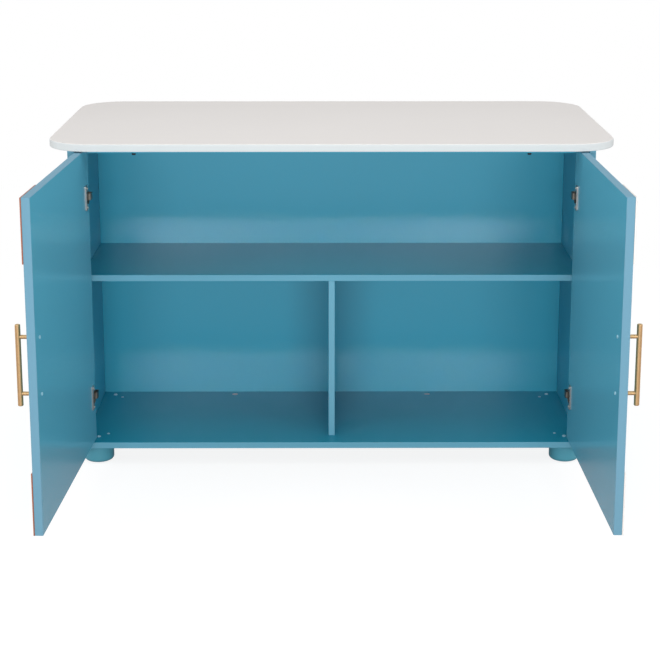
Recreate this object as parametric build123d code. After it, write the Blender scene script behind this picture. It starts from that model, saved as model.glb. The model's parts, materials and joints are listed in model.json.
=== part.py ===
from build123d import *
import math
import os

# Kitchen counter cabinet, in millimetres.
# X runs to the right, Y to the back and Z up. The origin is on the floor, on the cabinet's centre
# plane, half way between the back of the counter and the free edges of the standing-open doors.

# Carcass
CARCASS_WIDTH = 1300.0
CARCASS_DEPTH = 431.0
ORIGIN_BEHIND_FRONT = 48.0
TOTAL_HEIGHT = 841.0
BOARD = 16.0
BOARD_EASE = 1.0
LOWER_CLEAR_HEIGHT = 412.0
SHELF_SETBACK = 51.5
RAIL_WIDTH = 44.0
RAIL_THICKNESS = 18.0
RAIL_BEHIND_SWING = 3.0

# Counter
COUNTER_THICKNESS = 19.0
COUNTER_SIDE_OVERHANG = 50.5
COUNTER_FRONT_OVERHANG = 57.0
COUNTER_BACK_OVERHANG = 268.0
COUNTER_CORNER_RADIUS = 115.0
COUNTER_TOP_ROUND = 3.0
COUNTER_BOTTOM_ROUND = 2.0

# Feet
FOOT_HEIGHT = 42.0
FOOT_RADIUS = 38.0
FOOT_EDGE_ROUND = 9.0
FOOT_FROM_SIDE = 33.0
FOOT_FROM_FRONT = 44.0
FOOT_FROM_BACK = 45.0
GLIDE_THICKNESS = 2.0
GLIDE_RADIUS = 25.0

# Doors
DOOR_THICKNESS = 19.0
DOOR_EASE = 1.5
DOOR_GAP = 3.0
LEFT_REST_ANGLE = 92.8
RIGHT_REST_ANGLE = 91.0
CORNER_PLATE_RADIUS = 144.0
CORNER_PLATE_THICKNESS = 3.0
CORNER_PLATE_EASE = 0.8

# Handles
HANDLE_CENTRES = 128.0
HANDLE_LENGTH = 184.0
HANDLE_BAR_RADIUS = 6.0
HANDLE_BAR_END_ROUND = 2.0
HANDLE_POST_RADIUS = 4.5
HANDLE_PROJECTION = 28.0
HANDLE_FROM_FREE_EDGE = 39.0
HANDLE_SCREW_RADIUS = 2.0
HANDLE_SCREW_IN_POST = 12.0
HANDLE_SCREW_HEAD_RADIUS = 4.0
HANDLE_SCREW_HEAD_HEIGHT = 2.4

# Concealed hinges
HINGE_FROM_DOOR_END = 120.0
SWING_CLEARANCE = 0.6
CUP_RADIUS = 17.5
CUP_DEPTH = 14.0
CUP_WALL = 1.0
CUP_FLOOR = 0.8
CUP_BEHIND_PIVOT = 9.2
CUP_LIP = 1.0
FLANGE_LENGTH = 62.0
FLANGE_WIDTH = 19.0
FLANGE_THICKNESS = 3.0
FLANGE_CORNER = 3.0
CHEEK_THICKNESS = 3.0
CHEEK_GAP = 0.5
KNUCKLE_RADIUS = 3.0
KNUCKLE_CLEARANCE = 0.5
PIN_RADIUS = 1.5
ARM_THICKNESS = 2.5
ARM_HEIGHT = 16.0
ARM_BEND = 3.0
ARM_CLEARANCE = 1.8
CRANK_REACH = 17.5
PLATE_LENGTH = 50.0
PLATE_HEIGHT = 14.0
PLATE_THICKNESS = 2.75
WING_LENGTH = 16.0
WING_HEIGHT = 46.0
PLATE_SCREW_SPACING = 32.0
PLATE_SCREW_RADIUS = 2.5
PLATE_SCREW_IN_SIDE = 11.0
PLATE_SCREW_HEAD_RADIUS = 4.0
PLATE_SCREW_HEAD_HEIGHT = 2.0
ARM_SCREW_RADIUS = 2.0
ARM_SCREW_IN_PLATE = 2.0
ARM_SCREW_HEAD_RADIUS = 3.5
ARM_SCREW_HEAD_HEIGHT = 1.6
ARM_SCREW_FROM_END = 12.0
CUP_SCREW_SPACING = 48.0
CUP_SCREW_RADIUS = 1.75
CUP_SCREW_LENGTH = 12.0
CUP_SCREW_HEAD_RADIUS = 3.4
CUP_SCREW_HEAD_HEIGHT = 1.8

# Flat-pack joints and fasteners
FIT = 0.05
HOLE_END_ROOM = 0.5
DOWEL_RADIUS = 4.0
DOWEL_IN_SIDE = 11.0
DOWEL_IN_BOARD = 18.0
DOWEL_IN_SHELF = 9.0
DOWEL_FROM_BOARD_EDGE = 58.0
DOWEL_FROM_BACK_END = 100.0
CAM_RADIUS = 7.5
CAM_DEPTH = 12.5
CAM_FROM_JOINT = 24.0
CAM_FROM_BOARD_EDGE = 92.0
CAM_SLOT_LENGTH = 9.0
CAM_SLOT_WIDTH = 1.8
CAM_SLOT_DEPTH = 2.2
BACK_CAM_FROM_CENTRE = 268.0
CAM_BOLT_RADIUS = 2.5
CAM_BOLT_IN_PANEL = 11.0
CAM_BOLT_HEAD_RADIUS = 3.2
CAM_BOLT_HEAD_LENGTH = 4.0
CAM_BOLT_ROOM = 0.4
COUNTER_BOLT_FROM_CENTRE = 493.0
COUNTER_BOLT_RADIUS = 3.0
COUNTER_BOLT_IN_COUNTER = 11.0
COUNTER_BOLT_HEAD_RADIUS = 5.0
COUNTER_BOLT_HEAD_HEIGHT = 6.0
COUNTER_WASHER_RADIUS = 7.0
COUNTER_WASHER_THICKNESS = 1.6
FOOT_BOLT_RADIUS = 3.0
FOOT_BOLT_IN_FOOT = 28.0
FOOT_BOLT_HEAD_RADIUS = 5.0
FOOT_BOLT_HEAD_HEIGHT = 2.6
FOOT_SCREW_OFFSET = 22.0
FOOT_SCREW_RADIUS = 2.0
FOOT_SCREW_IN_FOOT = 20.0
FOOT_SCREW_HEAD_RADIUS = 3.5
FOOT_SCREW_HEAD_HEIGHT = 1.8
BOTTOM_SCREW_RADIUS = 2.0
BOTTOM_SCREW_IN_BOARD = 34.0
BOTTOM_SCREW_HEAD_RADIUS = 4.0
BOTTOM_SCREW_HEAD_HEIGHT = 3.0

# Main planes of the carcass
INNER_HALF = CARCASS_WIDTH / 2 - BOARD
FRONT_Y = -ORIGIN_BEHIND_FRONT
BACK_Y = FRONT_Y + CARCASS_DEPTH
BACK_PANEL_Y = BACK_Y - BOARD
BOTTOM_Z = GLIDE_THICKNESS + FOOT_HEIGHT
BOTTOM_TOP = BOTTOM_Z + BOARD
COUNTER_Z = TOTAL_HEIGHT - COUNTER_THICKNESS
SHELF_Z = BOTTOM_TOP + LOWER_CLEAR_HEIGHT
SHELF_Y = FRONT_Y + SHELF_SETBACK
RAIL_Z = COUNTER_Z - RAIL_THICKNESS

# Door size, and the pivot about which it swings. Places near a hinge are given for the left side as
# u, the distance inward from the side panel, and v, the distance back from the carcass front.
DOOR_WIDTH = INNER_HALF - 1.5 * DOOR_GAP
DOOR_Z = BOTTOM_TOP + DOOR_GAP
DOOR_TOP = COUNTER_Z - DOOR_GAP
DOOR_FREE_U = DOOR_GAP + DOOR_WIDTH
HANDLE_U = DOOR_FREE_U - HANDLE_FROM_FREE_EDGE
HANDLE_Z = (DOOR_Z + DOOR_TOP) / 2
HINGE_HEIGHTS = {"lower": DOOR_Z + HINGE_FROM_DOOR_END, "upper": DOOR_TOP - HINGE_FROM_DOOR_END}

# The pivot sits just above the floor of the cup. It stands off the side panel far enough for the
# door's front corner to pass the panel with the swing clearance.
CUP_BOTTOM_V = DOOR_THICKNESS - CUP_DEPTH
PIVOT_V = CUP_BOTTOM_V + CUP_FLOOR + KNUCKLE_CLEARANCE + KNUCKLE_RADIUS
PIVOT_U = (PIVOT_V**2 + DOOR_GAP**2 - SWING_CLEARANCE**2) / (2 * (DOOR_GAP - SWING_CLEARANCE))
CUP_U = PIVOT_U + CUP_BEHIND_PIVOT
SWING_RADIUS = math.hypot(PIVOT_U - DOOR_GAP, DOOR_THICKNESS - PIVOT_V)
SWING_V = PIVOT_V + SWING_RADIUS
CROSS_V = SWING_V + ARM_CLEARANCE + ARM_THICKNESS / 2
CRANK_U = PIVOT_U + CRANK_REACH
ARM_U = PLATE_THICKNESS + ARM_THICKNESS / 2
PLATE_V = CROSS_V - ARM_THICKNESS / 2
PLATE_END_V = PLATE_V + PLATE_LENGTH
PLATE_SCREW_V = (PLATE_V + PLATE_END_V) / 2
ARM_SCREW_V = PLATE_END_V - ARM_SCREW_FROM_END
CUP_SCREW_U = CUP_U + FLANGE_WIDTH / 2
RAIL_FRONT_Y = FRONT_Y + SWING_V + RAIL_BEHIND_SWING
RAIL_BACK_Y = BACK_PANEL_Y - RAIL_WIDTH


def board(x0, x1, y0, y1, z0, z1, ease=BOARD_EASE):
    """A board between two corners, with its edges eased."""
    block = Pos((x0 + x1) / 2, (y0 + y1) / 2, (z0 + z1) / 2) * Box(x1 - x0, y1 - y0, z1 - z0)
    return fillet(block.edges(), ease) if ease else block


def rod(radius, start, end):
    """A round bar from one point to another."""
    run = Vector(*end) - Vector(*start)
    return Solid.make_cylinder(radius, run.length, Plane(origin=start, z_dir=run))


def ring(outer, inner, start, end):
    """A round bar with a round hole along it."""
    return rod(outer, start, end) - rod(inner, start, end)


def to_right(shape):
    """The same piece on the right-hand side."""
    return mirror(shape, about=Plane.YZ)


def both_sides(shapes):
    """The left-hand pieces and their mirror images."""
    return shapes + [to_right(shape) for shape in shapes]


def boxes_meet(one, other):
    a, b = one.bounding_box(), other.bounding_box()
    return all(
        low <= high
        for low, high in [
            (a.min.X, b.max.X), (b.min.X, a.max.X),
            (a.min.Y, b.max.Y), (b.min.Y, a.max.Y),
            (a.min.Z, b.max.Z), (b.min.Z, a.max.Z),
        ]
    )


def drilled(piece, holes):
    """The piece with every hole that reaches it."""
    near = [hole for hole in holes if boxes_meet(piece, hole)]
    return piece - near if near else piece


def group(solids):
    """Separate solids that share one name."""
    return Compound([solid for shape in solids for solid in shape.solids()])


# Dowels: plain pegs, each in a hole with a little room at both ends

def peg(start, end):
    """One dowel and its hole."""
    run = (Vector(*end) - Vector(*start)).normalized() * HOLE_END_ROOM
    hole = rod(DOWEL_RADIUS + FIT, Vector(*start) - run, Vector(*end) + run)
    return rod(DOWEL_RADIUS, start, end), hole


def side_peg(y, z):
    """A dowel across the joint with the left side panel."""
    return peg((-INNER_HALF - DOWEL_IN_SIDE, y, z), (-INNER_HALF + DOWEL_IN_BOARD, y, z))


def dowel_places():
    """Y and Z of each dowel in the left side panel."""
    bottom_mid = BOTTOM_Z + BOARD / 2
    shelf_mid = SHELF_Z + BOARD / 2
    rail_mid = RAIL_Z + RAIL_THICKNESS / 2
    back_mid = BACK_Y - BOARD / 2
    back_low = BOTTOM_TOP + DOWEL_FROM_BACK_END
    back_high = COUNTER_Z - DOWEL_FROM_BACK_END
    places = [
        (FRONT_Y + DOWEL_FROM_BOARD_EDGE, bottom_mid),
        (BACK_PANEL_Y - DOWEL_FROM_BOARD_EDGE, bottom_mid),
        (SHELF_Y + DOWEL_FROM_BOARD_EDGE, shelf_mid),
        (BACK_PANEL_Y - DOWEL_FROM_BOARD_EDGE, shelf_mid),
    ]
    for rail_y in (RAIL_FRONT_Y, RAIL_BACK_Y):
        places += [(rail_y + RAIL_WIDTH * share, rail_mid) for share in (0.25, 0.75)]
    places += [(back_mid, z) for z in (back_low, (back_low + back_high) / 2, back_high)]
    return places


def divider_pegs():
    """Two upright dowels from the divider into the shelf."""
    depths = (SHELF_Y + DOWEL_FROM_BOARD_EDGE, BACK_PANEL_Y - DOWEL_FROM_BOARD_EDGE)
    return [peg((0, y, SHELF_Z - DOWEL_IN_BOARD), (0, y, SHELF_Z + DOWEL_IN_SHELF)) for y in depths]


# Cam locks: a drum let into one board draws in a bolt screwed into the board it meets

def cam_joint(joint, into, opens):
    """A cam lock, its bolt and the holes they need. The bolt crosses from board to board at the joint,
    into points from there to the drum, and opens is 1 for a drum let in from above, -1 from below."""
    joint, into, up = Vector(*joint), Vector(*into), Vector(0, 0, opens)
    middle = joint + into * CAM_FROM_JOINT
    neck = middle - into * CAM_BOLT_HEAD_LENGTH
    tip = joint - into * CAM_BOLT_IN_PANEL
    face = middle + up * (BOARD / 2)
    base = face - up * CAM_DEPTH
    way = rod(CAM_BOLT_HEAD_RADIUS + CAM_BOLT_ROOM, joint, middle + into * CAM_BOLT_HEAD_RADIUS)
    slots = [Box(CAM_SLOT_LENGTH, CAM_SLOT_WIDTH, 2 * CAM_SLOT_DEPTH),
             Box(CAM_SLOT_WIDTH, CAM_SLOT_LENGTH, 2 * CAM_SLOT_DEPTH)]
    drum = rod(CAM_RADIUS, face, base) - way - [Pos(face) * slot for slot in slots]
    bolt = rod(CAM_BOLT_RADIUS, tip, neck) + rod(CAM_BOLT_HEAD_RADIUS, neck, middle)
    pocket = rod(CAM_RADIUS + FIT, face + up * HOLE_END_ROOM, base)
    thread = rod(CAM_BOLT_RADIUS + FIT, tip - into * HOLE_END_ROOM, joint)
    return drum, bolt, [way, pocket, thread]


def left_cams():
    """Cams that hold the bottom panel and shelf to the left side panel and the bottom to the back panel."""
    side_places = [
        (FRONT_Y + CAM_FROM_BOARD_EDGE, BOTTOM_Z),
        (BACK_PANEL_Y - CAM_FROM_BOARD_EDGE, BOTTOM_Z),
        (SHELF_Y + CAM_FROM_BOARD_EDGE, SHELF_Z),
        (BACK_PANEL_Y - CAM_FROM_BOARD_EDGE, SHELF_Z),
    ]
    cams = [cam_joint((-INNER_HALF, y, underside + BOARD / 2), (1, 0, 0), -1) for y, underside in side_places]
    back_joint = (-BACK_CAM_FROM_CENTRE, BACK_PANEL_Y, BOTTOM_Z + BOARD / 2)
    return cams + [cam_joint(back_joint, (0, -1, 0), 1)]


# Headed screws and bolts

def headed(radius, head_radius, head_height, seat, way, length):
    """A screw whose head stands on a seat; way points from the seat towards the screw's tip."""
    way = Vector(*way)
    seat = Vector(*seat)
    shank = rod(radius, seat, seat + way * length)
    return shank + rod(head_radius, seat - way * head_height, seat)


def screw_hole(radius, seat, way, length):
    way = Vector(*way)
    seat = Vector(*seat)
    return rod(radius + FIT, seat, seat + way * (length + HOLE_END_ROOM))


def counter_bolt_places():
    mids = [rail_y + RAIL_WIDTH / 2 for rail_y in (RAIL_FRONT_Y, RAIL_BACK_Y)]
    return [(x, y) for x in (-COUNTER_BOLT_FROM_CENTRE, COUNTER_BOLT_FROM_CENTRE) for y in mids]


def counter_fixings():
    """Bolts up through the rails into the counter, their washers and holes."""
    length = COUNTER_WASHER_THICKNESS + RAIL_THICKNESS + COUNTER_BOLT_IN_COUNTER
    bolts, washers, holes = [], [], []
    for x, y in counter_bolt_places():
        seat = (x, y, RAIL_Z - COUNTER_WASHER_THICKNESS)
        head = (COUNTER_BOLT_HEAD_RADIUS, COUNTER_BOLT_HEAD_HEIGHT)
        bolts.append(headed(COUNTER_BOLT_RADIUS, *head, seat, (0, 0, 1), length))
        washers.append(ring(COUNTER_WASHER_RADIUS, COUNTER_BOLT_RADIUS + FIT, seat, (x, y, RAIL_Z)))
        holes.append(screw_hole(COUNTER_BOLT_RADIUS, seat, (0, 0, 1), length))
    return bolts, washers, holes


FOOT_PLACES = {
    "front": (-INNER_HALF + FOOT_FROM_SIDE, FRONT_Y + FOOT_FROM_FRONT),
    "back": (-INNER_HALF + FOOT_FROM_SIDE, BACK_Y - FOOT_FROM_BACK),
}


def foot_fixings():
    """A bolt in the middle of each left foot and a screw that keeps it from turning, with their holes."""
    bolts, screws, holes = [], [], []
    for x, y in FOOT_PLACES.values():
        toward_middle = FOOT_SCREW_OFFSET if y < (FRONT_Y + BACK_Y) / 2 else -FOOT_SCREW_OFFSET
        bolt_seat = (x, y, BOTTOM_TOP)
        screw_seat = (x + FOOT_SCREW_OFFSET, y + toward_middle, BOTTOM_TOP)
        bolt_length = BOARD + FOOT_BOLT_IN_FOOT
        screw_length = BOARD + FOOT_SCREW_IN_FOOT
        bolt_head = (FOOT_BOLT_HEAD_RADIUS, FOOT_BOLT_HEAD_HEIGHT)
        screw_head = (FOOT_SCREW_HEAD_RADIUS, FOOT_SCREW_HEAD_HEIGHT)
        bolts.append(headed(FOOT_BOLT_RADIUS, *bolt_head, bolt_seat, (0, 0, -1), bolt_length))
        screws.append(headed(FOOT_SCREW_RADIUS, *screw_head, screw_seat, (0, 0, -1), screw_length))
        holes.append(screw_hole(FOOT_BOLT_RADIUS, bolt_seat, (0, 0, -1), bolt_length))
        holes.append(screw_hole(FOOT_SCREW_RADIUS, screw_seat, (0, 0, -1), screw_length))
    return both_sides(bolts), both_sides(screws), both_sides(holes)


def bottom_fixings():
    """Screws from below into the divider, sunk flush, with their holes."""
    seat_z = BOTTOM_Z + BOTTOM_SCREW_HEAD_HEIGHT
    length = BOARD - BOTTOM_SCREW_HEAD_HEIGHT + BOTTOM_SCREW_IN_BOARD
    head = (BOTTOM_SCREW_HEAD_RADIUS, BOTTOM_SCREW_HEAD_HEIGHT)
    screws, holes = [], []
    for y in (SHELF_Y + DOWEL_FROM_BOARD_EDGE, BACK_PANEL_Y - DOWEL_FROM_BOARD_EDGE):
        seat = (0, y, seat_z)
        screws.append(headed(BOTTOM_SCREW_RADIUS, *head, seat, (0, 0, 1), length))
        holes.append(screw_hole(BOTTOM_SCREW_RADIUS, seat, (0, 0, 1), length))
        holes.append(rod(BOTTOM_SCREW_HEAD_RADIUS + FIT, (0, y, BOTTOM_Z - BOARD), seat))
    return screws, holes


# Hinges, drawn on the left side with the door closed

def at_left(shape):
    """Moves a shape drawn in u and v to the left side of the cabinet."""
    return Pos(-INNER_HALF, FRONT_Y, 0) * shape


def hinge_plate(z):
    """Cross-shaped mounting plate on the side panel, and the screws that hold it."""
    spine = board(0, PLATE_THICKNESS, PLATE_V, PLATE_END_V, z - PLATE_HEIGHT / 2, z + PLATE_HEIGHT / 2, 0)
    wing_v = PLATE_SCREW_V - WING_LENGTH / 2
    wing_z = z - WING_HEIGHT / 2
    plate = spine + board(0, PLATE_THICKNESS, wing_v, wing_v + WING_LENGTH, wing_z, wing_z + WING_HEIGHT, 0)
    seats = [(PLATE_THICKNESS, PLATE_SCREW_V, z + side * PLATE_SCREW_SPACING / 2) for side in (-1, 1)]
    length = PLATE_THICKNESS + PLATE_SCREW_IN_SIDE
    head = (PLATE_SCREW_HEAD_RADIUS, PLATE_SCREW_HEAD_HEIGHT)
    screws = [headed(PLATE_SCREW_RADIUS, *head, seat, (-1, 0, 0), length) for seat in seats]
    holes = [screw_hole(PLATE_SCREW_RADIUS, seat, (-1, 0, 0), length) for seat in seats]
    arm_seat, arm_length = arm_screw_seat(z)
    plate = plate - holes - screw_hole(ARM_SCREW_RADIUS, arm_seat, (-1, 0, 0), arm_length)
    return at_left(plate), [at_left(screw) for screw in screws], [at_left(hole) for hole in holes]


def arm_screw_seat(z):
    """Where the head of the arm's screw sits, and the length of its shank."""
    return (PLATE_THICKNESS + ARM_THICKNESS, ARM_SCREW_V, z), ARM_THICKNESS + ARM_SCREW_IN_PLATE


def hinge_arm(z):
    """Cranked arm: along the plate, out round the door's edge and into the cup, ending in a knuckle."""
    route = FilletPolyline(
        (PIVOT_U, PIVOT_V),
        (CRANK_U, PIVOT_V),
        (CRANK_U, CROSS_V),
        (ARM_U, CROSS_V),
        (ARM_U, PLATE_END_V),
        radius=ARM_BEND,
    )
    low = z - ARM_HEIGHT / 2
    high = z + ARM_HEIGHT / 2
    strip = Pos(0, 0, low) * extrude(trace(route, ARM_THICKNESS), ARM_HEIGHT)
    arm = strip + rod(KNUCKLE_RADIUS, (PIVOT_U, PIVOT_V, low), (PIVOT_U, PIVOT_V, high))
    arm -= rod(PIN_RADIUS + FIT, (PIVOT_U, PIVOT_V, low), (PIVOT_U, PIVOT_V, high))
    seat, length = arm_screw_seat(z)
    arm -= screw_hole(ARM_SCREW_RADIUS, seat, (-1, 0, 0), length)
    head = (ARM_SCREW_HEAD_RADIUS, ARM_SCREW_HEAD_HEIGHT)
    screw = headed(ARM_SCREW_RADIUS, *head, seat, (-1, 0, 0), length)
    return at_left(arm), at_left(screw)


def pin_ends(z):
    reach = ARM_HEIGHT / 2 + CHEEK_GAP + CHEEK_THICKNESS
    return (PIVOT_U, PIVOT_V, z - reach), (PIVOT_U, PIVOT_V, z + reach)


def hinge_pin(z):
    return at_left(rod(PIN_RADIUS, *pin_ends(z)))


def hinge_cup(z):
    """Cup sunk in the door's inner face, with two cheeks that hold the pin and a screwed flange."""
    inner_radius = CUP_RADIUS - CUP_WALL
    floor_v = CUP_BOTTOM_V + CUP_FLOOR
    outer = rod(CUP_RADIUS, (CUP_U, CUP_BOTTOM_V, z), (CUP_U, DOOR_THICKNESS, z))
    hollow = rod(inner_radius, (CUP_U, floor_v, z), (CUP_U, DOOR_THICKNESS + FLANGE_THICKNESS, z))
    cheeks = []
    for side in (-1, 1):
        near = z + side * (ARM_HEIGHT / 2 + CHEEK_GAP)
        far = near + side * CHEEK_THICKNESS
        low, high = min(near, far), max(near, far)
        top_v = PIVOT_V + KNUCKLE_RADIUS
        block = board(CUP_U - CUP_RADIUS, PIVOT_U + KNUCKLE_RADIUS, floor_v, top_v, low, high, 0)
        cheeks.append(block & rod(inner_radius + CUP_WALL / 2, (CUP_U, floor_v, z), (CUP_U, top_v, z)))
    lip = ring(CUP_RADIUS + CUP_LIP, inner_radius, (CUP_U, DOOR_THICKNESS, z),
               (CUP_U, DOOR_THICKNESS + FLANGE_THICKNESS, z))
    outline = Pos(CUP_U + FLANGE_WIDTH / 2, DOOR_THICKNESS, z) * Rot(-90, 0, 0) * RectangleRounded(
        FLANGE_WIDTH, FLANGE_LENGTH, FLANGE_CORNER)
    flange = extrude(outline, FLANGE_THICKNESS, dir=(0, 1, 0)) - hollow
    cup = (outer - hollow) + lip + flange + cheeks
    cup -= rod(PIN_RADIUS + FIT, *pin_ends(z))
    seats = cup_screw_seats(z)
    cup -= [screw_hole(CUP_SCREW_RADIUS, seat, (0, -1, 0), FLANGE_THICKNESS) for seat in seats]
    return at_left(cup)


def cup_screw_seats(z):
    seat_v = DOOR_THICKNESS + FLANGE_THICKNESS
    return [(CUP_SCREW_U, seat_v, z + side * CUP_SCREW_SPACING / 2) for side in (-1, 1)]


def cup_screws(z):
    """Two screws through the flange into the door."""
    head = (CUP_SCREW_HEAD_RADIUS, CUP_SCREW_HEAD_HEIGHT)
    return [
        at_left(headed(CUP_SCREW_RADIUS, *head, seat, (0, -1, 0), CUP_SCREW_LENGTH))
        for seat in cup_screw_seats(z)
    ]


def cup_holes(z):
    """What a hinge needs drilled in the door."""
    mouth = (CUP_U, DOOR_THICKNESS, z)
    holes = [rod(CUP_RADIUS + FIT, (CUP_U, CUP_BOTTOM_V, z), mouth)]
    holes += [screw_hole(CUP_SCREW_RADIUS, seat, (0, -1, 0), CUP_SCREW_LENGTH) for seat in cup_screw_seats(z)]
    return [at_left(hole) for hole in holes]


# Doors and what they carry, drawn closed on the left side

def handle_heights():
    return [HANDLE_Z + side * HANDLE_CENTRES / 2 for side in (-1, 1)]


def handle_screw_length():
    return DOOR_THICKNESS + HANDLE_SCREW_IN_POST


def door_panel():
    """The door board with its cup and screw holes."""
    panel = at_left(board(DOOR_GAP, DOOR_FREE_U, 0, DOOR_THICKNESS, DOOR_Z, DOOR_TOP, DOOR_EASE))
    holes = [hole for z in HINGE_HEIGHTS.values() for hole in cup_holes(z)]
    holes += [
        at_left(screw_hole(HANDLE_SCREW_RADIUS, (HANDLE_U, DOOR_THICKNESS, z), (0, -1, 0), DOOR_THICKNESS))
        for z in handle_heights()
    ]
    return panel - holes


def corner_plate(corner_z, way):
    """Quarter-round plate on the door's front at a free corner; way is +1 up or -1 down from it."""
    centre = Pos(DOOR_FREE_U, 0, corner_z)
    disc = rod(CORNER_PLATE_RADIUS, (0, -CORNER_PLATE_THICKNESS, 0), (0, 0, 0))
    reach = CORNER_PLATE_RADIUS
    low, high = sorted((0, way * reach))
    quarter = disc & board(-reach, 0, -CORNER_PLATE_THICKNESS, 0, low, high, 0)
    front = quarter.faces().sort_by(Axis.Y)[0]
    return at_left(centre * fillet(front.edges(), CORNER_PLATE_EASE))


def handle_bar():
    half = HANDLE_LENGTH / 2
    bar = rod(HANDLE_BAR_RADIUS, (HANDLE_U, -HANDLE_PROJECTION, HANDLE_Z - half),
              (HANDLE_U, -HANDLE_PROJECTION, HANDLE_Z + half))
    return at_left(fillet(bar.edges().filter_by(GeomType.CIRCLE), HANDLE_BAR_END_ROUND))


def handle_posts():
    """Two posts between the door and the bar, saddled to the bar and tapped for a screw."""
    posts = []
    for z in handle_heights():
        post = rod(HANDLE_POST_RADIUS, (HANDLE_U, 0, z), (HANDLE_U, -HANDLE_PROJECTION, z))
        post -= rod(HANDLE_BAR_RADIUS + FIT, (HANDLE_U, -HANDLE_PROJECTION, z - HANDLE_CENTRES / 2),
                    (HANDLE_U, -HANDLE_PROJECTION, z + HANDLE_CENTRES / 2))
        post -= screw_hole(HANDLE_SCREW_RADIUS, (HANDLE_U, 0, z), (0, -1, 0), HANDLE_SCREW_IN_POST)
        posts.append(at_left(post))
    return posts


def handle_screws():
    head = (HANDLE_SCREW_HEAD_RADIUS, HANDLE_SCREW_HEAD_HEIGHT)
    return [
        at_left(headed(HANDLE_SCREW_RADIUS, *head, (HANDLE_U, DOOR_THICKNESS, z), (0, -1, 0),
                       handle_screw_length()))
        for z in handle_heights()
    ]


def door_pieces():
    """Every piece of a closed left door by name."""
    heights = HINGE_HEIGHTS
    pieces = {
        "door_panel": door_panel(),
        "door_corner_top": corner_plate(DOOR_TOP, -1),
        "door_corner_bottom": corner_plate(DOOR_Z, 1),
        "handle_bar": handle_bar(),
        "handle_posts": group(handle_posts()),
        "handle_screws": group(handle_screws()),
        "hinge_cup_screws": group([screw for z in heights.values() for screw in cup_screws(z)]),
    }
    for level, z in heights.items():
        pieces[f"{level}_hinge_cup"] = hinge_cup(z)
        pieces[f"{level}_hinge_pin"] = hinge_pin(z)
    return pieces


def open_door(shape, angle, side):
    """Swings a closed left door open, then mirrors it for the right side."""
    pivot = Axis((PIVOT_U - INNER_HALF, FRONT_Y + PIVOT_V, 0), (0, 0, -1))
    opened = shape.rotate(pivot, angle)
    return to_right(opened) if side == "right" else opened


# Carcass boards, counter and feet

def side_panel(holes):
    outer = -INNER_HALF - BOARD
    return drilled(board(outer, -INNER_HALF, FRONT_Y, BACK_Y, BOTTOM_Z, COUNTER_Z), holes)


def counter_top(holes):
    width = CARCASS_WIDTH + 2 * COUNTER_SIDE_OVERHANG
    depth = CARCASS_DEPTH + COUNTER_FRONT_OVERHANG + COUNTER_BACK_OVERHANG
    middle_y = (FRONT_Y - COUNTER_FRONT_OVERHANG + BACK_Y + COUNTER_BACK_OVERHANG) / 2
    outline = Pos(0, middle_y, COUNTER_Z) * RectangleRounded(width, depth, COUNTER_CORNER_RADIUS)
    slab = extrude(outline, COUNTER_THICKNESS)
    slab = fillet(slab.faces().sort_by(Axis.Z)[-1].edges(), COUNTER_TOP_ROUND)
    slab = fillet(slab.faces().sort_by(Axis.Z)[0].edges(), COUNTER_BOTTOM_ROUND)
    return drilled(slab, holes)


def foot(x, y, holes):
    turned = rod(FOOT_RADIUS, (x, y, GLIDE_THICKNESS), (x, y, BOTTOM_Z))
    low_edge = turned.edges().filter_by(GeomType.CIRCLE).sort_by(Axis.Z)[0]
    return drilled(fillet([low_edge], FOOT_EDGE_ROUND), holes)


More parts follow.
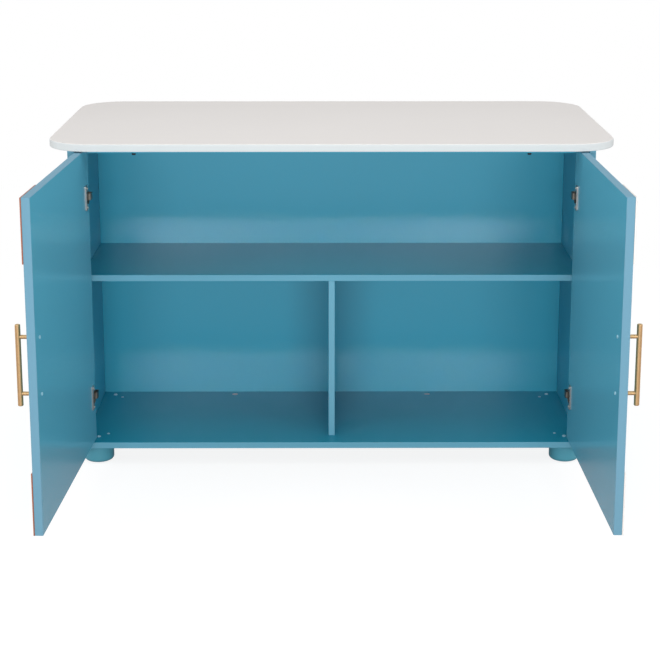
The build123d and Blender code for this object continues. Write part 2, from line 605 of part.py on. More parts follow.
def build():
    """Every piece of the cabinet by name."""
    side_pegs = [side_peg(y, z) for y, z in dowel_places()]
    centre_pegs = divider_pegs()
    cams = left_cams()
    counter_bolts, counter_washers, counter_holes = counter_fixings()
    foot_bolts, foot_screws, foot_holes = foot_fixings()
    bottom_screws, bottom_holes = bottom_fixings()
    plates = {level: hinge_plate(z) for level, z in HINGE_HEIGHTS.items()}
    arms = {level: hinge_arm(z) for level, z in HINGE_HEIGHTS.items()}

    left_holes = [hole for _, hole in side_pegs]
    left_holes += [hole for _, _, holes in cams for hole in holes]
    left_holes += [hole for _, _, holes in plates.values() for hole in holes]
    holes = both_sides(left_holes) + [hole for _, hole in centre_pegs]
    holes += counter_holes + foot_holes + bottom_holes

    inner = (-INNER_HALF, INNER_HALF)
    half_board = BOARD / 2
    rail_top = RAIL_Z + RAIL_THICKNESS
    pieces = {
        "counter_top": counter_top(counter_holes),
        "side_panel_left": side_panel(left_holes),
        "bottom_panel": drilled(board(*inner, FRONT_Y, BACK_PANEL_Y, BOTTOM_Z, BOTTOM_TOP), holes),
        "back_panel": drilled(board(*inner, BACK_PANEL_Y, BACK_Y, BOTTOM_Z, COUNTER_Z), holes),
        "shelf": drilled(board(*inner, SHELF_Y, BACK_PANEL_Y, SHELF_Z, SHELF_Z + BOARD), holes),
        "divider": drilled(board(-half_board, half_board, SHELF_Y, BACK_PANEL_Y, BOTTOM_TOP, SHELF_Z), holes),
        "top_rail_front": drilled(
            board(*inner, RAIL_FRONT_Y, RAIL_FRONT_Y + RAIL_WIDTH, RAIL_Z, rail_top), holes),
        "top_rail_back": drilled(
            board(*inner, RAIL_BACK_Y, RAIL_BACK_Y + RAIL_WIDTH, RAIL_Z, rail_top), holes),
        "dowels": group(both_sides([peg_ for peg_, _ in side_pegs]) + [peg_ for peg_, _ in centre_pegs]),
        "cam_locks": group(both_sides([drum for drum, _, _ in cams])),
        "cam_bolts": group(both_sides([bolt for _, bolt, _ in cams])),
        "counter_bolts": group(counter_bolts),
        "counter_washers": group(counter_washers),
        "foot_bolts": group(foot_bolts),
        "foot_screws": group(foot_screws),
        "bottom_screws": group(bottom_screws),
    }
    pieces["side_panel_right"] = to_right(pieces["side_panel_left"])

    glides = []
    for row, (x, y) in FOOT_PLACES.items():
        left_foot = foot(x, y, foot_holes)
        pieces[f"foot_{row}_left"] = left_foot
        pieces[f"foot_{row}_right"] = to_right(left_foot)
        glides.append(rod(GLIDE_RADIUS, (x, y, 0), (x, y, GLIDE_THICKNESS)))
    pieces["foot_glides"] = group(both_sides(glides))

    plate_screws, arm_screws = [], []
    for level in HINGE_HEIGHTS:
        plate, screws, _ = plates[level]
        arm, arm_screw = arms[level]
        plate_screws += screws
        arm_screws.append(arm_screw)
        for name, piece in (("hinge_plate", plate), ("hinge_arm", arm)):
            pieces[f"left_{level}_{name}"] = piece
            pieces[f"right_{level}_{name}"] = to_right(piece)
    pieces["hinge_plate_screws"] = group(both_sides(plate_screws))
    pieces["hinge_arm_screws"] = group(both_sides(arm_screws))

    rest_angles = {"left": LEFT_REST_ANGLE, "right": RIGHT_REST_ANGLE}
    for name, piece in door_pieces().items():
        for side, angle in rest_angles.items():
            pieces[f"{side}_{name}"] = open_door(piece, angle, side)
    return pieces


os.makedirs("parts", exist_ok=True)
for node, shape in build().items():
    export_step(shape, f"parts/{node}.step")
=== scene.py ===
import json
import math
from collections import namedtuple

import bmesh
import bpy
from mathutils import Matrix, Vector


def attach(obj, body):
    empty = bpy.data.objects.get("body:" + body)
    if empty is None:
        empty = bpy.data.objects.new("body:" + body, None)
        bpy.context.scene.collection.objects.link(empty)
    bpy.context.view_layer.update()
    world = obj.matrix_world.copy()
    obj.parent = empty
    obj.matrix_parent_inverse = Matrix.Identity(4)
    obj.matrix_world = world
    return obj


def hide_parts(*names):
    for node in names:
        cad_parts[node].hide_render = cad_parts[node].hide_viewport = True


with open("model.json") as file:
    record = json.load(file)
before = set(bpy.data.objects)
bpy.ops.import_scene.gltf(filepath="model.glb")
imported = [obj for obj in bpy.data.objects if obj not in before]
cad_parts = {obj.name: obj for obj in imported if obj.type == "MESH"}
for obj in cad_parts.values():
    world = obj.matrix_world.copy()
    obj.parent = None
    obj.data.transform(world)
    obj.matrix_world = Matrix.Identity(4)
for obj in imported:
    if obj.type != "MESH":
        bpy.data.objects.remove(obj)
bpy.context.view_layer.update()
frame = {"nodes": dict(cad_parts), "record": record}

NODES = frame["nodes"]
SLOTS = {row["node"]: row["material_slot"] for row in frame["record"]["subparts"]}

# Places repeated from the solids, in metres. On the left side u runs inward from the side panel and
# v runs back from the carcass front; the right side is the mirror image.
SIDES = ("left", "right")
ENDS = (-1, 1)
UP = (0, 0, 1)
DOWN = (0, 0, -1)
INNER_HALF = 0.634
FRONT_Y = -0.048
BOTTOM_TOP_Z = 0.060
RAIL_UNDER_Z = 0.804
REST_DEGREES = {"left": 92.8, "right": 91.0}
DOOR_FACE_V = 0.019
PIVOT_U = 0.01981875
PIVOT_V = 0.0093
HINGE_ZS = (0.183, 0.699)
FLANGE_THICKNESS = 0.0030
FLANGE_HALF_WIDTH = 0.0095
FLANGE_FROM_PIVOT = 0.0092
FLANGE_FACE_V = DOOR_FACE_V + FLANGE_THICKNESS
CUP_SCREW_U = PIVOT_U + FLANGE_FROM_PIVOT + FLANGE_HALF_WIDTH
CUP_SCREW_HALF = 0.024
PLATE_FACE_U = 0.00275
PLATE_SCREW_V = 0.0555173
PLATE_SCREW_HALF = 0.016
ARM_FACE_U = 0.00525
ARM_SCREW_V = 0.0685173
HANDLE_U = 0.5935
HANDLE_Z = 0.441
HANDLE_HALF = 0.064
FOOT_U = 0.033
FOOT_VS = (0.044, 0.386)
FOOT_SCREW_OFFSET = 0.022
COUNTER_BOLT_XS = (-0.493, 0.493)
COUNTER_BOLT_VS = (0.0537173, 0.393)
WASHER_THICKNESS = 0.0016

# Screws and bolts, by the radius of shank and head, in metres
Screw = namedtuple("Screw", "shank length head height drive")
HANDLE_SCREW = Screw(0.0020, 0.031, 0.0040, 0.0024, "cross")
CUP_SCREW = Screw(0.00175, 0.012, 0.0034, 0.0018, "cross")
PLATE_SCREW = Screw(0.0025, 0.01375, 0.0040, 0.0020, "cross")
ARM_SCREW = Screw(0.0020, 0.0045, 0.0035, 0.0016, "cross")
FOOT_BOLT = Screw(0.0030, 0.044, 0.0050, 0.0026, "hex")
FOOT_SCREW = Screw(0.0020, 0.036, 0.0035, 0.0018, "cross")
COUNTER_BOLT = Screw(0.0030, 0.0306, 0.0050, 0.0060, "hex")
RING_POINTS = 48
THREAD_PITCH = 0.0016
NECK_LENGTH = 0.0004

# Threads, as shares of the shank's radius and of the pitch
THREAD_CREST = 0.98
THREAD_ROOT = 0.80
THREAD_TIP = 0.25
CREST_IN_TURN = 0.35
ROOT_IN_TURN = 0.9
BOLT_CHAMFER = 0.3

# Heads, as shares of the head's radius and height, from the seat up
PAN_HEAD = ((0.98, 0.0), (1.0, 0.12), (1.0, 0.45), (0.95, 0.70), (0.82, 0.92), (0.70, 0.99))
CAP_HEAD = ((1.0, 0.0), (1.0, 0.88), (0.91, 1.0), (0.66, 1.0))
RECESS_SHARE = {"hex": 0.42, "cross": 0.58}
RECESS_TAPER = 0.86
RECESS_FLOOR = 0.35
SOCKET_SHARE = 0.50
SOCKET_RIM = 0.93
SOCKET_FLOOR = 0.40
CROSS_ARM = 0.24

# Colours of paint, laminate, metals, dowels and pads
BLUE = (0.035, 0.330, 0.470)
# Lighter copy of the blue for the doors: painted light, as the open doors stand in more light than the
# inside
BLUE_DOOR_LIT = (0.105, 0.405, 0.547)
# Darker copy of the blue for the shelf and bottom panel: painted shade, as the counter and shelf keep light
# off their tops
BLUE_LEVEL_SHADED = (0.014, 0.290, 0.412)
# Darker, greyer copy of the blue for the feet: painted shade
BLUE_FOOT_SHADED = (0.068, 0.302, 0.394)
# Paler copy of the blue on the boards' front edges: painted highlight, the light these edges catch and
# reflect
BOARD_EDGE_HIGHLIGHT = (0.135, 0.370, 0.490)
# Greyer copy of the door blue on the doors' edges: painted highlight, the whitish light these edges reflect
DOOR_EDGE_HIGHLIGHT = (0.150, 0.322, 0.434)
COUNTER = (0.735, 0.708, 0.690)
# Darker, cooler copy of the laminate for the counter's edge faces: painted shade, holding down the lamp
# light on its front
COUNTER_EDGE_SHADE = (0.625, 0.660, 0.668)
RUST = (0.330, 0.112, 0.058)
CREAM = (0.800, 0.760, 0.720)
BRASS = (0.470, 0.325, 0.170)
STEEL = (0.420, 0.420, 0.400)
# Darker copy of the steel for the hinge arms and plates: painted shade and painted reflection, as they sit
# in the cabinet's shade and mirror its dark inside
ARM_STEEL_SHADED = (0.140, 0.140, 0.125)
# Pale blue satin paint on the screw and bolt heads
PALE_BLUE_HEADS = (0.260, 0.490, 0.590)
BLACK_STEEL = (0.018, 0.018, 0.020)
BEECH = (0.560, 0.360, 0.180)
PAD = (0.260, 0.260, 0.265)

# Sheen of the paints. A band is a copy of a colour painted on the strip along a board's edges: painted
# highlight on the boards and doors, painted shade on the counter. Its faces are those whose normal, along
# the axis, passes the test against the limit.
LEVEL_ROUGHNESS = 0.14
LEVEL_GLOSS = 0.12
SIDE_ROUGHNESS = 0.36
SIDE_GLOSS = 0.30
DOOR_ROUGHNESS = 0.20
DOOR_GLOSS = 0.14
FOOT_ROUGHNESS = 0.40
Band = namedtuple("Band", "colour axis test limit roughness", defaults=[None])
LEVEL_HIGHLIGHT_BAND = Band(BOARD_EDGE_HIGHLIGHT, "Y", "GREATER_THAN", 0.7, LEVEL_ROUGHNESS)
SIDE_HIGHLIGHT_BAND = Band(BOARD_EDGE_HIGHLIGHT, "Y", "GREATER_THAN", 0.7, SIDE_ROUGHNESS)
DOOR_HIGHLIGHT_BAND = Band(DOOR_EDGE_HIGHLIGHT, "X", "LESS_THAN", 0.98, 0.52)
COUNTER_SHADE_BAND = Band(COUNTER_EDGE_SHADE, "Z", "LESS_THAN", 0.7)

# Directions in which metal and wood grain is drawn out
GRAIN_UPRIGHT = (1.0, 1.0, 0.05)
GRAIN_LEVEL = (0.3, 0.3, 1.0)
GRAIN_ALONG_DOWEL = (0.08, 1.0, 1.0)

# Lowest and highest value of a noise pattern that is told apart
NOISE_LOW = 0.3
NOISE_HIGH = 0.7

# Floor and background. The shadow is how much of the floor's light the lamps give, near the cabinet.
WHITE = (1.0, 1.0, 1.0, 1.0)
FLOOR_RADIUS = 60.0
FLOOR_CORNERS = 96
FLOOR_BOUNCE = (0.55, 0.55, 0.55, 1.0)
FLOOR_SHADOW = 0.22
MIRRORED_SHADOW = 1.35
MIRRORED_FLOOR = (0.57, 0.45, 0.43, 1.0)
LAMP_LIGHT_ON_FLOOR = 0.70
SHADOW_REACH = 4.0
SHADOW_FULL_FROM = 0.6
WORLD_LIGHT = 0.30

# Lamps, with their place and aim in metres. Those in pairs are given for the right side.
Lamp = namedtuple("Lamp", "name place aim width height watts")
PAIRED_LAMPS = (
    Lamp("softbox", (0.76, -4.4, 1.30), (0.0, 0.0, 0.5), 1.3, 0.32, 62.0),
    Lamp("side", (2.6, -1.9, 2.5), (0.0, -0.2, 0.5), 1.2, 1.2, 18.0),
    Lamp("wing", (3.6, 0.2, 0.9), (0.0, 0.0, 0.4), 1.4, 1.4, 27.0),
)
SINGLE_LAMPS = (
    Lamp("softbox_back", (0.0, 4.4, 0.5), (0.0, 0.0, 0.45), 2.6, 0.7, 45.0),
    Lamp("softbox_top", (0.0, 0.0, 3.4), (0.0, 0.2, 0.8), 3.0, 2.2, 40.0),
)

# Camera, in metres, degrees and millimetres
CAMERA_PLACE = (-0.0177, -3.9577, 1.4815)
CAMERA_DOWN = 12.517
CAMERA_TO_RIGHT = 0.195
CAMERA_SENSOR = 36.0
CAMERA_LENS = 87.96
CAMERA_SHIFT = -0.15


# Parts of materials

def new_material(name):
    """A material with its node tree, its shader and object coordinates."""
    material = bpy.data.materials.new(name)
    material.use_nodes = True
    nodes = material.node_tree.nodes
    nodes.clear()
    shader = nodes.new("ShaderNodeBsdfPrincipled")
    output = nodes.new("ShaderNodeOutputMaterial")
    material.node_tree.links.new(shader.outputs["BSDF"], output.inputs["Surface"])
    coords = nodes.new("ShaderNodeTexCoord")
    return material, shader, coords.outputs["Object"]


def noise(material, vector, scale, detail, stretch=None):
    """A noise pattern; stretch squeezes it along the axes."""
    tree = material.node_tree
    if stretch:
        mapping = tree.nodes.new("ShaderNodeMapping")
        mapping.inputs["Scale"].default_value = stretch
        tree.links.new(vector, mapping.inputs["Vector"])
        vector = mapping.outputs["Vector"]
    pattern = tree.nodes.new("ShaderNodeTexNoise")
    pattern.inputs["Scale"].default_value = scale
    pattern.inputs["Detail"].default_value = detail
    tree.links.new(vector, pattern.inputs["Vector"])
    return pattern.outputs["Fac"]


def spread(material, value, low, high):
    """Turns a noise value into a range of numbers."""
    node = material.node_tree.nodes.new("ShaderNodeMapRange")
    node.inputs["From Min"].default_value = NOISE_LOW
    node.inputs["From Max"].default_value = NOISE_HIGH
    node.inputs["To Min"].default_value = low
    node.inputs["To Max"].default_value = high
    material.node_tree.links.new(value, node.inputs["Value"])
    return node.outputs["Result"]


def tint(material, value, colour, change):
    """Turns a noise value into a colour that varies by a small share."""
    ramp = material.node_tree.nodes.new("ShaderNodeValToRGB")
    stops = ((NOISE_LOW, 1 - change), (NOISE_HIGH, 1 + change))
    for element, (place, factor) in zip(ramp.color_ramp.elements, stops):
        element.position = place
        element.color = (*[min(1.0, part * factor) for part in colour], 1.0)
    material.node_tree.links.new(value, ramp.inputs["Fac"])
    return ramp.outputs["Color"]


def bump(material, value, depth, strength):
    """A bump of the given depth in metres."""
    node = material.node_tree.nodes.new("ShaderNodeBump")
    node.inputs["Strength"].default_value = strength
    node.inputs["Distance"].default_value = depth
    material.node_tree.links.new(value, node.inputs["Height"])
    return node.outputs["Normal"]


def feed(material, shader, **sockets):
    """Links outputs to the shader's inputs by name."""
    for name, output in sockets.items():
        material.node_tree.links.new(output, shader.inputs[name.replace("_", " ")])


def edge_mask(material, band):
    """1 on the faces that carry a band of painted highlight or painted shade, told by their normal along
    the band's axis, else 0.
    """
    tree = material.node_tree
    coords = tree.nodes.new("ShaderNodeTexCoord")
    axes = tree.nodes.new("ShaderNodeSeparateXYZ")
    size = tree.nodes.new("ShaderNodeMath")
    size.operation = "ABSOLUTE"
    edge = tree.nodes.new("ShaderNodeMath")
    edge.operation = band.test
    edge.inputs[1].default_value = band.limit
    tree.links.new(coords.outputs["Normal"], axes.inputs["Vector"])
    tree.links.new(axes.outputs[band.axis], size.inputs[0])
    tree.links.new(size.outputs["Value"], edge.inputs[0])
    return edge.outputs["Value"]


def blend(material, kind, mask, face, edge):
    """Takes the first value or colour on the faces and the second on the edges."""
    tree = material.node_tree
    mix = tree.nodes.new("ShaderNodeMix")
    mix.data_type = kind
    tree.links.new(mask, mix.inputs["Factor"])
    tree.links.new(face, mix.inputs["A"])
    tree.links.new(edge, mix.inputs["B"])
    return mix.outputs["Result"]


# Materials

def satin_paint(name, colour, roughness, band=None, gloss=0.5):
    """Sprayed lacquer: faint cloudiness in the colour, a soft sheen and a very fine orange peel.
    Gloss is the strength of its mirror images, and band is the copy of its colour painted on the edges as
    highlight."""
    cloudiness = 0.015
    unevenness = 0.01
    material, shader, place = new_material(name)
    cloud = noise(material, place, scale=2.5, detail=0.0)
    peel = noise(material, place, scale=600.0, detail=1.0)
    shade = tint(material, cloud, colour, cloudiness)
    sheen = spread(material, peel, roughness - unevenness, roughness + unevenness)
    if band:
        mask = edge_mask(material, band)
        painted_edge_shading = tint(material, cloud, band.colour, cloudiness)
        edge_sheen = spread(material, peel, band.roughness - unevenness, band.roughness + unevenness)
        shade = blend(material, "RGBA", mask, shade, painted_edge_shading)
        sheen = blend(material, "FLOAT", mask, sheen, edge_sheen)
    feed(
        material, shader,
        Base_Color=shade,
        Roughness=sheen,
        Normal=bump(material, peel, depth=0.00001, strength=0.05),
    )
    shader.inputs["IOR"].default_value = 1.5
    shader.inputs["Specular IOR Level"].default_value = gloss
    return material


def laminate(name, colour, band):
    """Pale worktop laminate with a fine speckle, a close matt texture and a darker, cooler copy of its
    colour painted round its edge as shade.
    """
    contrast = 0.012
    material, shader, place = new_material(name)
    speckle = noise(material, place, scale=900.0, detail=4.0)
    cloud = noise(material, place, scale=3.0, detail=3.0)
    shade = tint(material, speckle, colour, contrast)
    painted_edge_shading = tint(material, speckle, band.colour, contrast)
    feed(
        material, shader,
        Base_Color=blend(material, "RGBA", edge_mask(material, band), shade, painted_edge_shading),
        Roughness=spread(material, cloud, low=0.58, high=0.66),
        Normal=bump(material, speckle, depth=0.00003, strength=0.30),
    )
    return material


def brushed(name, colour, roughness, stretch):
    """Metal with a drawn grain that runs along the axes squeezed by stretch."""
    unevenness = 0.07
    material, shader, place = new_material(name)
    lines = noise(material, place, scale=380.0, detail=3.0, stretch=stretch)
    tarnish = noise(material, place, scale=60.0, detail=2.0)
    shader.inputs["Metallic"].default_value = 1.0
    feed(
        material, shader,
        Base_Color=tint(material, tarnish, colour, change=0.05),
        Roughness=spread(material, lines, roughness - unevenness, roughness + unevenness),
        Normal=bump(material, lines, depth=0.00002, strength=0.40),
    )
    return material


def black_oxide(name, colour):
    """Blackened steel with a fine, uneven grain."""
    material, shader, place = new_material(name)
    grain = noise(material, place, scale=700.0, detail=2.0)
    shader.inputs["Metallic"].default_value = 0.7
    feed(
        material, shader,
        Base_Color=tint(material, grain, colour, change=0.25),
        Roughness=spread(material, grain, low=0.38, high=0.55),
        Normal=bump(material, grain, depth=0.00002, strength=0.30),
    )
    return material


def raw_wood(name, colour):
    """Unpainted wood with its grain along the dowel."""
    material, shader, place = new_material(name)
    grain = noise(material, place, scale=260.0, detail=4.0, stretch=GRAIN_ALONG_DOWEL)
    feed(
        material, shader,
        Base_Color=tint(material, grain, colour, change=0.18),
        Roughness=spread(material, grain, low=0.60, high=0.75),
        Normal=bump(material, grain, depth=0.00006, strength=0.50),
    )
    return material


def glide_pad(name, colour):
    """Matt pad under a foot, with a fibrous surface."""
    material, shader, place = new_material(name)
    fibre = noise(material, place, scale=1400.0, detail=4.0)
    feed(
        material, shader,
        Base_Color=tint(material, fibre, colour, change=0.20),
        Roughness=spread(material, fibre, low=0.80, high=0.95),
        Normal=bump(material, fibre, depth=0.0003, strength=0.60),
    )
    return material


MATERIALS = {
    "blue_paint": satin_paint("blue_satin_paint", BLUE, roughness=0.25),
    "counter_laminate": laminate("pale_laminate", COUNTER, COUNTER_SHADE_BAND),
    "rust_paint": satin_paint("rust_satin_paint", RUST, roughness=0.38),
    "cream_paint": satin_paint("cream_satin_paint", CREAM, roughness=0.38),
    "brass": brushed("brushed_brass", BRASS, roughness=0.56, stretch=GRAIN_UPRIGHT),
    "steel": brushed("nickel_plated_steel", STEEL, roughness=0.36, stretch=GRAIN_LEVEL),
    "pale_blue_caps": satin_paint("pale_blue_head_paint", PALE_BLUE_HEADS, roughness=0.35),
    "dark_steel": black_oxide("black_oxide_steel", BLACK_STEEL),
    "beech": raw_wood("beech_dowel", BEECH),
    "glide_plastic": glide_pad("glide_pad", PAD),
}

# Nodes with lit and shaded copies of the paint and steel, which carry painted light and shade
LEVEL_SHADED_PAINT = satin_paint("blue_paint_on_levels_painted_shade", BLUE_LEVEL_SHADED, LEVEL_ROUGHNESS, LEVEL_HIGHLIGHT_BAND, LEVEL_GLOSS)
SIDE_PAINT = satin_paint("blue_paint_on_sides", BLUE, SIDE_ROUGHNESS, SIDE_HIGHLIGHT_BAND, SIDE_GLOSS)
DOOR_LIT_PAINT = satin_paint("blue_paint_on_doors_painted_light", BLUE_DOOR_LIT, DOOR_ROUGHNESS, DOOR_HIGHLIGHT_BAND, DOOR_GLOSS)
FOOT_SHADED_PAINT = satin_paint("blue_paint_on_feet_painted_shade", BLUE_FOOT_SHADED, FOOT_ROUGHNESS)
# Hinge arms and plates: the darker copy of the steel, painted shade
SHADED_HINGE_STEEL = brushed("hinge_steel_painted_shade", ARM_STEEL_SHADED, roughness=0.40, stretch=GRAIN_LEVEL)
LIT_AND_SHADED_COPIES = {
    "shelf": LEVEL_SHADED_PAINT,
    "bottom_panel": LEVEL_SHADED_PAINT,
    "divider": SIDE_PAINT,
    "side_panel_left": SIDE_PAINT,
    "side_panel_right": SIDE_PAINT,
    "left_door_panel": DOOR_LIT_PAINT,
    "right_door_panel": DOOR_LIT_PAINT,
}
for place in ("front_left", "front_right", "back_left", "back_right"):
    LIT_AND_SHADED_COPIES[f"foot_{place}"] = FOOT_SHADED_PAINT
for place in ("left_lower", "left_upper", "right_lower", "right_upper"):
    LIT_AND_SHADED_COPIES[f"{place}_hinge_arm"] = SHADED_HINGE_STEEL
    LIT_AND_SHADED_COPIES[f"{place}_hinge_plate"] = SHADED_HINGE_STEEL

for node_name, slot_name in SLOTS.items():
    slots = NODES[node_name].data.materials
    slots.clear()
    slots.append(LIT_AND_SHADED_COPIES.get(node_name, MATERIALS[slot_name]))


# Screws and bolts with real heads

def outline(kind, size):
    """The points of a round, hexagonal or cross-shaped ring."""
    points = []
    for step in range(RING_POINTS):
        angle = 2 * math.pi * step / RING_POINTS
        if kind == "hex":
            reach = size / math.cos((angle % (math.pi / 3)) - math.pi / 6)
        elif kind == "cross":
            turn = (angle + math.pi / 4) % (math.pi / 2) - math.pi / 4
            arm = CROSS_ARM * size
            reach = size / math.cos(turn)
            if abs(turn) > 1e-6:
                reach = min(reach, arm / abs(math.sin(turn)))
        else:
            reach = size
        points.append((reach * math.cos(angle), reach * math.sin(angle)))
    return points


def lathe(bm, rings, matrix):
    """Joins rings of equal count into one closed skin."""
    loops = []
    for kind, size, height in rings:
        loops.append([bm.verts.new(matrix @ Vector((x, y, height))) for x, y in outline(kind, size)])
    for low, high in zip(loops, loops[1:]):
        for step in range(RING_POINTS):
            after = (step + 1) % RING_POINTS
            bm.faces.new((low[step], low[after], high[after], high[step]))
    bm.faces.new(list(reversed(loops[0])))
    bm.faces.new(loops[-1])


def thread_rings(screw):
    """Rings of a screw below its head: pointed tip and threaded shank."""
    crest = screw.shank * THREAD_CREST
    root = screw.shank * THREAD_ROOT
    start = -screw.length + 2 * screw.shank
    turns = max(1, int((screw.length - 3 * screw.shank) / THREAD_PITCH))
    rings = [("round", screw.shank * THREAD_TIP, -screw.length), ("round", root, start)]
    for turn in range(turns):
        low = start + turn * THREAD_PITCH
        rings.append(("round", crest, low + CREST_IN_TURN * THREAD_PITCH))
        rings.append(("round", root, low + ROOT_IN_TURN * THREAD_PITCH))
    return rings + [("round", crest, -NECK_LENGTH), ("round", crest, 0.0)]


def head_rings(profile, screw):
    """Rings of a screw's round head."""
    return [("round", screw.head * across, up * screw.height) for across, up in profile]


def screw_rings(screw):
    """Rings of a pan-headed screw, down to the floor of the drive recess in its domed head."""
    recess = RECESS_SHARE[screw.drive] * screw.head
    return thread_rings(screw) + head_rings(PAN_HEAD, screw) + [
        (screw.drive, recess, screw.height),
        (screw.drive, recess * RECESS_TAPER, RECESS_FLOOR * screw.height),
    ]


def cap_rings(bolt):
    """Rings of a socket-headed bolt: plain shank, drum head with a broken edge, and its socket."""
    crest = bolt.shank * THREAD_CREST
    socket = bolt.head * SOCKET_SHARE
    shank = [
        ("round", bolt.shank * THREAD_ROOT, -bolt.length),
        ("round", crest, -bolt.length + BOLT_CHAMFER * bolt.shank),
        ("round", crest, 0.0),
    ]
    return shank + head_rings(CAP_HEAD, bolt) + [
        (bolt.drive, socket, SOCKET_RIM * bolt.height),
        (bolt.drive, socket, SOCKET_FLOOR * bolt.height),
    ]


def seated(seat, way):
    """Stands a fastener on its seat, with its tip along way."""
    out = -Vector(way)
    turn = Vector(UP).rotation_difference(out).to_matrix().to_4x4()
    return Matrix.Translation(Vector(seat)) @ turn


def fasteners(name, node, body, rings, places):
    """One piece that stands for a group of like fasteners. Each place is a seat and the tip's way."""
    bm = bmesh.new()
    for seat, way in places:
        lathe(bm, rings, seated(seat, way))
    bmesh.ops.recalc_face_normals(bm, faces=bm.faces)
    mesh = bpy.data.meshes.new(name)
    bm.to_mesh(mesh)
    bm.free()
    piece = bpy.data.objects.new(name, mesh)
    bpy.context.scene.collection.objects.link(piece)
    slot = SLOTS[node]
    mesh.materials.append(MATERIALS[slot])
    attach(piece, body)
    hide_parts(node)


def on_side(side, x, y, z):
    """A place or direction drawn for the left side, moved to the given side."""
    return Vector((x if side == "left" else -x, y, z))


def cabinet_place(side, u, v, z):
    """A place on the cabinet."""
    return on_side(side, u - INNER_HALF, FRONT_Y + v, z)


def door_turn(side, u, v):
    """Turns a direction drawn on the closed left door to the standing-open door."""
    angle = math.radians(REST_DEGREES[side])
    x = u * math.cos(angle) + v * math.sin(angle)
    y = -u * math.sin(angle) + v * math.cos(angle)
    return on_side(side, x, y, 0)


def door_place(side, u, v, z):
    """A place on the standing-open door, drawn on the closed one."""
    pivot = cabinet_place(side, PIVOT_U, PIVOT_V, z)
    return pivot + door_turn(side, u - PIVOT_U, v - PIVOT_V)


def door_screws(side):
    """Handle screws and hinge cup screws of one door."""
    into_door = door_turn(side, 0, -1)
    handle_places = []
    cup_places = []
    for end in ENDS:
        seat = door_place(side, HANDLE_U, DOOR_FACE_V, HANDLE_Z + end * HANDLE_HALF)
        handle_places.append((seat, into_door))
    for z in HINGE_ZS:
        for end in ENDS:
            seat = door_place(side, CUP_SCREW_U, FLANGE_FACE_V, z + end * CUP_SCREW_HALF)
            cup_places.append((seat, into_door))
    fasteners(
        f"{side}_handle_screw_heads", f"{side}_handle_screws", f"{side}_door",
        screw_rings(HANDLE_SCREW), handle_places,
    )
    fasteners(
        f"{side}_cup_screw_heads", f"{side}_hinge_cup_screws", f"{side}_door",
        screw_rings(CUP_SCREW), cup_places,
    )


def hinge_screws():
    """Screws of the hinge plates and hinge arms, into the side panels."""
    plate_places = []
    arm_places = []
    for side in SIDES:
        into_side = on_side(side, -1, 0, 0)
        for z in HINGE_ZS:
            arm_places.append((cabinet_place(side, ARM_FACE_U, ARM_SCREW_V, z), into_side))
            for end in ENDS:
                seat = cabinet_place(side, PLATE_FACE_U, PLATE_SCREW_V, z + end * PLATE_SCREW_HALF)
                plate_places.append((seat, into_side))
    fasteners(
        "hinge_plate_screw_heads", "hinge_plate_screws", "cabinet",
        screw_rings(PLATE_SCREW), plate_places,
    )
    fasteners(
        "hinge_arm_screw_heads", "hinge_arm_screws", "cabinet",
        screw_rings(ARM_SCREW), arm_places,
    )


def foot_fasteners():
    """A bolt and a screw down into each foot."""
    bolt_places = []
    screw_places = []
    for side in SIDES:
        for v, inward in zip(FOOT_VS, (1, -1)):
            screw_u = FOOT_U + FOOT_SCREW_OFFSET
            screw_v = v + inward * FOOT_SCREW_OFFSET
            bolt_places.append((cabinet_place(side, FOOT_U, v, BOTTOM_TOP_Z), DOWN))
            screw_places.append((cabinet_place(side, screw_u, screw_v, BOTTOM_TOP_Z), DOWN))
    fasteners("foot_bolt_heads", "foot_bolts", "cabinet", screw_rings(FOOT_BOLT), bolt_places)
    fasteners("foot_screw_heads", "foot_screws", "cabinet", screw_rings(FOOT_SCREW), screw_places)


def counter_bolts():
    """Bolts up through the rails into the counter, on their washers."""
    seat_z = RAIL_UNDER_Z - WASHER_THICKNESS
    places = [((x, FRONT_Y + v, seat_z), UP) for x in COUNTER_BOLT_XS for v in COUNTER_BOLT_VS]
    fasteners("counter_bolt_heads", "counter_bolts", "cabinet", cap_rings(COUNTER_BOLT), places)


for door_side in SIDES:
    door_screws(door_side)
hinge_screws()
foot_fasteners()
counter_bolts()


# Floor and background

def where_seen(tree):
    """1 for the camera and for mirror images, 0 for all other light."""
    path = tree.nodes.new("ShaderNodeLightPath")
    seen = path.outputs["Is Camera Ray"]
    for other in ("Is Glossy Ray", "Is Transmission Ray"):
        either = tree.nodes.new("ShaderNodeMath")
        either.operation = "MAXIMUM"
        tree.links.new(seen, either.inputs[0])
        tree.links.new(path.outputs[other], either.inputs[1])
        seen = either.outputs["Value"]
    return seen


def multiply_add(tree, value, factor, addend):
    """The value times a factor, plus an addend."""
    node = tree.nodes.new("ShaderNodeMath")
    node.operation = "MULTIPLY_ADD"
    tree.links.new(value, node.inputs[0])
    node.inputs[1].default_value = factor
    node.inputs[2].default_value = addend
    return node.outputs["Value"]


def near_cabinet(tree):
    """1 round the cabinet, fading to 0 at the shadow's reach."""
    coords = tree.nodes.new("ShaderNodeTexCoord")
    mapping = tree.nodes.new("ShaderNodeMapping")
    mapping.inputs["Scale"].default_value = (1 / SHADOW_REACH, 1 / SHADOW_REACH, 1 / SHADOW_REACH)
    tree.links.new(coords.outputs["Object"], mapping.inputs["Vector"])
    gradient = tree.nodes.new("ShaderNodeTexGradient")
    gradient.gradient_type = "SPHERICAL"
    tree.links.new(mapping.outputs["Vector"], gradient.inputs["Vector"])
    near = tree.nodes.new("ShaderNodeMapRange")
    near.interpolation_type = "SMOOTHSTEP"
    near.inputs["From Max"].default_value = SHADOW_FULL_FROM
    tree.links.new(gradient.outputs["Fac"], near.inputs["Value"])
    return near.outputs["Result"]


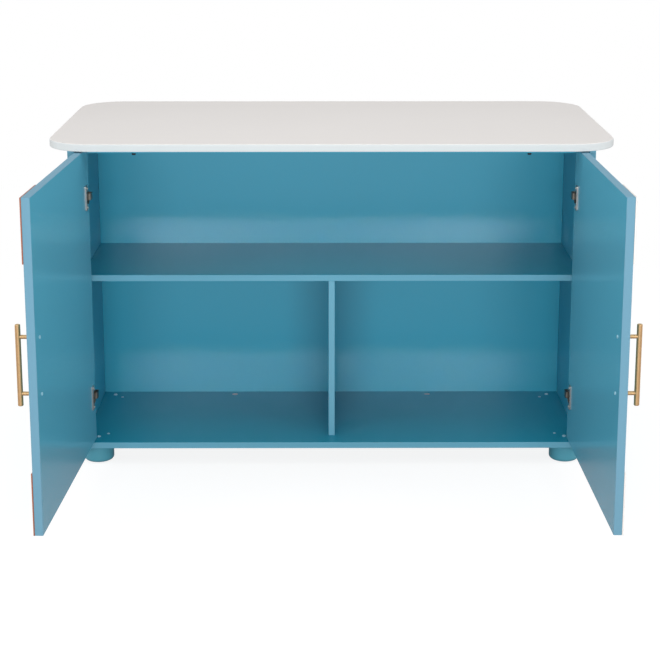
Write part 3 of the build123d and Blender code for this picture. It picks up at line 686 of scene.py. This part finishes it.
def floor_as_seen(tree):
    """The floor for the camera and for mirror images: a part that takes shadows, and a glow that makes up
    for the rest. The camera sees it white; in mirror images it is darker and warm, with a fuller shadow."""
    to_camera = tree.nodes.new("ShaderNodeLightPath").outputs["Is Camera Ray"]
    depth = tree.nodes.new("ShaderNodeMath")
    depth.operation = "MULTIPLY"
    fullness = multiply_add(tree, to_camera, FLOOR_SHADOW - MIRRORED_SHADOW, MIRRORED_SHADOW)
    tree.links.new(near_cabinet(tree), depth.inputs[0])
    tree.links.new(fullness, depth.inputs[1])
    tone = tree.nodes.new("ShaderNodeMix")
    tone.data_type = "RGBA"
    tone.inputs["A"].default_value = MIRRORED_FLOOR
    tone.inputs["B"].default_value = WHITE
    tree.links.new(to_camera, tone.inputs["Factor"])
    shaded = tree.nodes.new("ShaderNodeVectorMath")
    shaded.operation = "SCALE"
    tree.links.new(tone.outputs["Result"], shaded.inputs["Vector"])
    tree.links.new(depth.outputs["Value"], shaded.inputs["Scale"])
    faint = tree.nodes.new("ShaderNodeBsdfDiffuse")
    tree.links.new(shaded.outputs["Vector"], faint.inputs["Color"])
    glow = tree.nodes.new("ShaderNodeEmission")
    left_over = multiply_add(tree, depth.outputs["Value"], -LAMP_LIGHT_ON_FLOOR, 1.0)
    tree.links.new(tone.outputs["Result"], glow.inputs["Color"])
    tree.links.new(left_over, glow.inputs["Strength"])
    shown = tree.nodes.new("ShaderNodeAddShader")
    tree.links.new(faint.outputs["BSDF"], shown.inputs[0])
    tree.links.new(glow.outputs["Emission"], shown.inputs[1])
    return shown.outputs["Shader"]


def make_floor():
    """A wide floor that reads white, keeps a light shadow and bounces some light."""
    bpy.ops.mesh.primitive_circle_add(
        vertices=FLOOR_CORNERS, radius=FLOOR_RADIUS, fill_type="NGON", location=(0, 0, 0))
    floor = bpy.context.object
    floor.name = "floor"
    material = bpy.data.materials.new("studio_floor")
    material.use_nodes = True
    tree = material.node_tree
    tree.nodes.clear()
    bounce = tree.nodes.new("ShaderNodeBsdfDiffuse")
    bounce.inputs["Color"].default_value = FLOOR_BOUNCE
    mix = tree.nodes.new("ShaderNodeMixShader")
    tree.links.new(where_seen(tree), mix.inputs["Fac"])
    tree.links.new(bounce.outputs["BSDF"], mix.inputs[1])
    tree.links.new(floor_as_seen(tree), mix.inputs[2])
    output = tree.nodes.new("ShaderNodeOutputMaterial")
    tree.links.new(mix.outputs["Shader"], output.inputs["Surface"])
    floor.data.materials.append(material)


def make_world():
    """An even white studio: dim as light, plain white where it is seen."""
    world = bpy.data.worlds.new("studio")
    bpy.context.scene.world = world
    world.use_nodes = True
    tree = world.node_tree
    tree.nodes.clear()
    ambient = tree.nodes.new("ShaderNodeBackground")
    ambient.inputs["Strength"].default_value = WORLD_LIGHT
    white = tree.nodes.new("ShaderNodeBackground")
    mix = tree.nodes.new("ShaderNodeMixShader")
    for background in (ambient, white):
        background.inputs["Color"].default_value = WHITE
    tree.links.new(where_seen(tree), mix.inputs["Fac"])
    tree.links.new(ambient.outputs["Background"], mix.inputs[1])
    tree.links.new(white.outputs["Background"], mix.inputs[2])
    output = tree.nodes.new("ShaderNodeOutputWorld")
    tree.links.new(mix.outputs["Shader"], output.inputs["Surface"])


# Lights and camera

def softbox(name, place, lamp):
    """A rectangular lamp at the place, turned to its aim and not seen by the camera."""
    data = bpy.data.lights.new(name, "AREA")
    data.shape = "RECTANGLE"
    data.size = lamp.width
    data.size_y = lamp.height
    data.energy = lamp.watts
    box = bpy.data.objects.new(name, data)
    box.location = place
    box.rotation_euler = (Vector(lamp.aim) - Vector(place)).to_track_quat("-Z", "Y").to_euler()
    box.visible_camera = False
    bpy.context.scene.collection.objects.link(box)


def make_lights():
    """The mirrored pairs of lamps, then the single ones."""
    for lamp in PAIRED_LAMPS:
        x, y, z = lamp.place
        softbox(f"{lamp.name}_left", (-x, y, z), lamp)
        softbox(f"{lamp.name}_right", (x, y, z), lamp)
    for lamp in SINGLE_LAMPS:
        softbox(lamp.name, lamp.place, lamp)


def make_camera():
    """The camera of the main view, in front of the cabinet and looking slightly down."""
    data = bpy.data.cameras.new("camera")
    data.sensor_width = CAMERA_SENSOR
    data.lens = CAMERA_LENS
    data.shift_y = CAMERA_SHIFT
    camera = bpy.data.objects.new("camera", data)
    camera.location = CAMERA_PLACE
    camera.rotation_euler = (math.radians(90 - CAMERA_DOWN), 0.0, math.radians(-CAMERA_TO_RIGHT))
    bpy.context.scene.collection.objects.link(camera)
    bpy.context.scene.camera = camera


make_floor()
make_world()
make_lights()
make_camera()

bpy.context.scene.view_settings.view_transform = "Standard"
